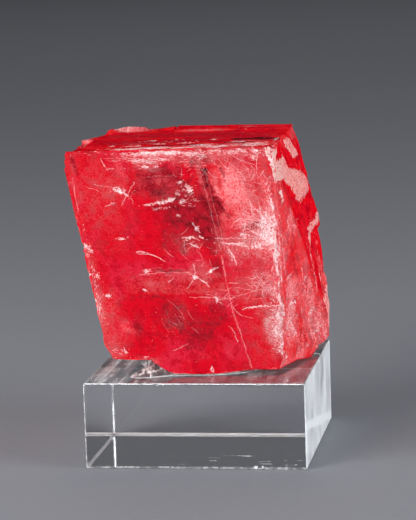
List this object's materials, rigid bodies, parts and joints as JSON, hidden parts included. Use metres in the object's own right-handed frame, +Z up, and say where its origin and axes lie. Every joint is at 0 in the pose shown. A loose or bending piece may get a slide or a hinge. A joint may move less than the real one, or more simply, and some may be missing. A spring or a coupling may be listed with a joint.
{
  "type": "rhodochrosite specimen",
  "caption": "Gemmy red rhodochrosite cleavage rhomb, chipped and fractured at its lower right, held by clear museum gel on a clear acrylic display block.",
  "frame": {"origin": "centre of the display block's underside, on the surface that the specimen stands on", "axes": "+X along the block's front edge to the right, +Y from the block's front to its back, +Z up"},
  "size_m": [0.0572, 0.0576, 0.0713],
  "materials": {
    "rhodochrosite": "translucent gemmy red crystal with a vitreous lustre, pale bruises and internal fractures",
    "museum_gel": "clear, wet-looking museum gel",
    "acrylic": "clear cast acrylic, polished top and front, fine saw and polish streaks on the sides"
  },
  "bodies": {
    "root": {"crystal": "rhodochrosite", "gel_pad": "museum_gel", "display_block": "acrylic"}
  },
  "joints": []
}
